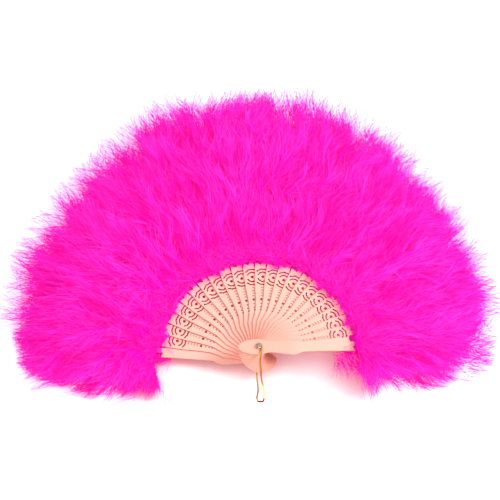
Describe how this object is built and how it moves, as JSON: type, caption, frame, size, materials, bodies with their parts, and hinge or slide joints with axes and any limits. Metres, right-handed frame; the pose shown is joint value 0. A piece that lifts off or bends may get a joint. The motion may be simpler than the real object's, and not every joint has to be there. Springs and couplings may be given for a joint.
{
  "type": "folding feather fan",
  "caption": "Open folding fan of pierced plastic blades on one rivet, each with a hot-pink down plume, and a wire bail to hang it by.",
  "frame": {"origin": "centre of the flat outer face of the rivet's back head", "axes": "+Z along the rivet towards the front of the fan, +Y along the middle blade, to which the fan folds, +X to the right as seen from the front"},
  "size_m": [0.5161, 0.3561, 0.062],
  "materials": {
    "blade_plastic": "satin moulded",
    "marabou_down": "dyed turkey down",
    "gold_wire": "gold-plated wire",
    "rivet_metal": "nickel-plated",
    "linking_thread": "dyed thread"
  },
  "bodies": {
    "middle_stick": {"stick_12": "blade_plastic", "plume_12": "marabou_down", "rivet": "rivet_metal", "link_thread": "linking_thread"},
    "front_guard": {"front_guard": "blade_plastic", "front_guard_plume": "marabou_down"},
    "stick_01": {"stick_01": "blade_plastic", "plume_01": "marabou_down"},
    "stick_02": {"stick_02": "blade_plastic", "plume_02": "marabou_down"},
    "stick_03": {"stick_03": "blade_plastic", "plume_03": "marabou_down"},
    "stick_04": {"stick_04": "blade_plastic", "plume_04": "marabou_down"},
    "stick_05": {"stick_05": "blade_plastic", "plume_05": "marabou_down"},
    "stick_06": {"stick_06": "blade_plastic", "plume_06": "marabou_down"},
    "stick_07": {"stick_07": "blade_plastic", "plume_07": "marabou_down"},
    "stick_08": {"stick_08": "blade_plastic", "plume_08": "marabou_down"},
    "stick_09": {"stick_09": "blade_plastic", "plume_09": "marabou_down"},
    "stick_10": {"stick_10": "blade_plastic", "plume_10": "marabou_down"},
    "stick_11": {"stick_11": "blade_plastic", "plume_11": "marabou_down"},
    "stick_13": {"stick_13": "blade_plastic", "plume_13": "marabou_down"},
    "stick_14": {"stick_14": "blade_plastic", "plume_14": "marabou_down"},
    "stick_15": {"stick_15": "blade_plastic", "plume_15": "marabou_down"},
    "stick_16": {"stick_16": "blade_plastic", "plume_16": "marabou_down"},
    "stick_17": {"stick_17": "blade_plastic", "plume_17": "marabou_down"},
    "stick_18": {"stick_18": "blade_plastic", "plume_18": "marabou_down"},
    "stick_19": {"stick_19": "blade_plastic", "plume_19": "marabou_down"},
    "stick_20": {"stick_20": "blade_plastic", "plume_20": "marabou_down"},
    "stick_21": {"stick_21": "blade_plastic", "plume_21": "marabou_down"},
    "stick_22": {"stick_22": "blade_plastic", "plume_22": "marabou_down"},
    "back_guard": {"back_guard": "blade_plastic", "back_guard_plume": "marabou_down"},
    "bail": {"bail": "gold_wire"}
  },
  "joints": [
    {"name": "fan_fold", "type": "hinge", "parent": "middle_stick", "child": "front_guard", "pos_m": [0, 0, 0.02407], "axis": [0, 0, 1], "range_deg": [0, 90.36], "deforming": ["front_guard_plume", "plume_12", "link_thread"]},
    {"name": "stick_01_fold", "type": "hinge", "parent": "middle_stick", "child": "stick_01", "pos_m": [0, 0, 0.02407], "axis": [0, 0, 1], "range_deg": [0, 82.84], "deforming": ["plume_01"]},
    {"name": "stick_02_fold", "type": "hinge", "parent": "middle_stick", "child": "stick_02", "pos_m": [0, 0, 0.02407], "axis": [0, 0, 1], "range_deg": [0, 75.31], "deforming": ["plume_02"]},
    {"name": "stick_03_fold", "type": "hinge", "parent": "middle_stick", "child": "stick_03", "pos_m": [0, 0, 0.02407], "axis": [0, 0, 1], "range_deg": [0, 67.78], "deforming": ["plume_03"]},
    {"name": "stick_04_fold", "type": "hinge", "parent": "middle_stick", "child": "stick_04", "pos_m": [0, 0, 0.02407], "axis": [0, 0, 1], "range_deg": [0, 60.25], "deforming": ["plume_04"]},
    {"name": "stick_05_fold", "type": "hinge", "parent": "middle_stick", "child": "stick_05", "pos_m": [0, 0, 0.02407], "axis": [0, 0, 1], "range_deg": [0, 52.72], "deforming": ["plume_05"]},
    {"name": "stick_06_fold", "type": "hinge", "parent": "middle_stick", "child": "stick_06", "pos_m": [0, 0, 0.02407], "axis": [0, 0, 1], "range_deg": [0, 45.19], "deforming": ["plume_06"]},
    {"name": "stick_07_fold", "type": "hinge", "parent": "middle_stick", "child": "stick_07", "pos_m": [0, 0, 0.02407], "axis": [0, 0, 1], "range_deg": [0, 37.66], "deforming": ["plume_07"]},
    {"name": "stick_08_fold", "type": "hinge", "parent": "middle_stick", "child": "stick_08", "pos_m": [0, 0, 0.02407], "axis": [0, 0, 1], "range_deg": [0, 30.13], "deforming": ["plume_08"]},
    {"name": "stick_09_fold", "type": "hinge", "parent": "middle_stick", "child": "stick_09", "pos_m": [0, 0, 0.02407], "axis": [0, 0, 1], "range_deg": [0, 22.6], "deforming": ["plume_09"]},
    {"name": "stick_10_fold", "type": "hinge", "parent": "middle_stick", "child": "stick_10", "pos_m": [0, 0, 0.02407], "axis": [0, 0, 1], "range_deg": [0, 15.07], "deforming": ["plume_10"]},
    {"name": "stick_11_fold", "type": "hinge", "parent": "middle_stick", "child": "stick_11", "pos_m": [0, 0, 0.02407], "axis": [0, 0, 1], "range_deg": [0, 7.54], "deforming": ["plume_11"]},
    {"name": "stick_13_fold", "type": "hinge", "parent": "middle_stick", "child": "stick_13", "pos_m": [0, 0, 0.02407], "axis": [0, 0, 1], "range_deg": [-7.54, 0], "deforming": ["plume_13"]},
    {"name": "stick_14_fold", "type": "hinge", "parent": "middle_stick", "child": "stick_14", "pos_m": [0, 0, 0.02407], "axis": [0, 0, 1], "range_deg": [-15.07, 0], "deforming": ["plume_14"]},
    {"name": "stick_15_fold", "type": "hinge", "parent": "middle_stick", "child": "stick_15", "pos_m": [0, 0, 0.02407], "axis": [0, 0, 1], "range_deg": [-22.6, 0], "deforming": ["plume_15"]},
    {"name": "stick_16_fold", "type": "hinge", "parent": "middle_stick", "child": "stick_16", "pos_m": [0, 0, 0.02407], "axis": [0, 0, 1], "range_deg": [-30.13, 0], "deforming": ["plume_16"]},
    {"name": "stick_17_fold", "type": "hinge", "parent": "middle_stick", "child": "stick_17", "pos_m": [0, 0, 0.02407], "axis": [0, 0, 1], "range_deg": [-37.66, 0], "deforming": ["plume_17"]},
    {"name": "stick_18_fold", "type": "hinge", "parent": "middle_stick", "child": "stick_18", "pos_m": [0, 0, 0.02407], "axis": [0, 0, 1], "range_deg": [-45.19, 0], "deforming": ["plume_18"]},
    {"name": "stick_19_fold", "type": "hinge", "parent": "middle_stick", "child": "stick_19", "pos_m": [0, 0, 0.02407], "axis": [0, 0, 1], "range_deg": [-52.72, 0], "deforming": ["plume_19"]},
    {"name": "stick_20_fold", "type": "hinge", "parent": "middle_stick", "child": "stick_20", "pos_m": [0, 0, 0.02407], "axis": [0, 0, 1], "range_deg": [-60.25, 0], "deforming": ["plume_20"]},
    {"name": "stick_21_fold", "type": "hinge", "parent": "middle_stick", "child": "stick_21", "pos_m": [0, 0, 0.02407], "axis": [0, 0, 1], "range_deg": [-67.78, 0], "deforming": ["plume_21"]},
    {"name": "stick_22_fold", "type": "hinge", "parent": "middle_stick", "child": "stick_22", "pos_m": [0, 0, 0.02407], "axis": [0, 0, 1], "range_deg": [-75.31, 0], "deforming": ["plume_22"]},
    {"name": "back_guard_fold", "type": "hinge", "parent": "middle_stick", "child": "back_guard", "pos_m": [0, 0, 0.02407], "axis": [0, 0, 1], "range_deg": [-82.84, 0], "deforming": ["back_guard_plume"]},
    {"name": "bail_swing", "type": "hinge", "parent": "middle_stick", "child": "bail", "pos_m": [0, 0, 0.02407], "axis": [0, 0, 1], "range_deg": [-70, 70]}
  ],
  "couplings": [
    {"joint": "stick_01_fold", "follows": "fan_fold", "ratio": 0.91667},
    {"joint": "stick_02_fold", "follows": "fan_fold", "ratio": 0.83333},
    {"joint": "stick_03_fold", "follows": "fan_fold", "ratio": 0.75},
    {"joint": "stick_04_fold", "follows": "fan_fold", "ratio": 0.66667},
    {"joint": "stick_05_fold", "follows": "fan_fold", "ratio": 0.58333},
    {"joint": "stick_06_fold", "follows": "fan_fold", "ratio": 0.5},
    {"joint": "stick_07_fold", "follows": "fan_fold", "ratio": 0.41667},
    {"joint": "stick_08_fold", "follows": "fan_fold", "ratio": 0.33333},
    {"joint": "stick_09_fold", "follows": "fan_fold", "ratio": 0.25},
    {"joint": "stick_10_fold", "follows": "fan_fold", "ratio": 0.16667},
    {"joint": "stick_11_fold", "follows": "fan_fold", "ratio": 0.083333},
    {"joint": "stick_13_fold", "follows": "fan_fold", "ratio": -0.083333},
    {"joint": "stick_14_fold", "follows": "fan_fold", "ratio": -0.16667},
    {"joint": "stick_15_fold", "follows": "fan_fold", "ratio": -0.25},
    {"joint": "stick_16_fold", "follows": "fan_fold", "ratio": -0.33333},
    {"joint": "stick_17_fold", "follows": "fan_fold", "ratio": -0.41667},
    {"joint": "stick_18_fold", "follows": "fan_fold", "ratio": -0.5},
    {"joint": "stick_19_fold", "follows": "fan_fold", "ratio": -0.58333},
    {"joint": "stick_20_fold", "follows": "fan_fold", "ratio": -0.66667},
    {"joint": "stick_21_fold", "follows": "fan_fold", "ratio": -0.75},
    {"joint": "stick_22_fold", "follows": "fan_fold", "ratio": -0.83333},
    {"joint": "back_guard_fold", "follows": "fan_fold", "ratio": -0.91667}
  ]
}
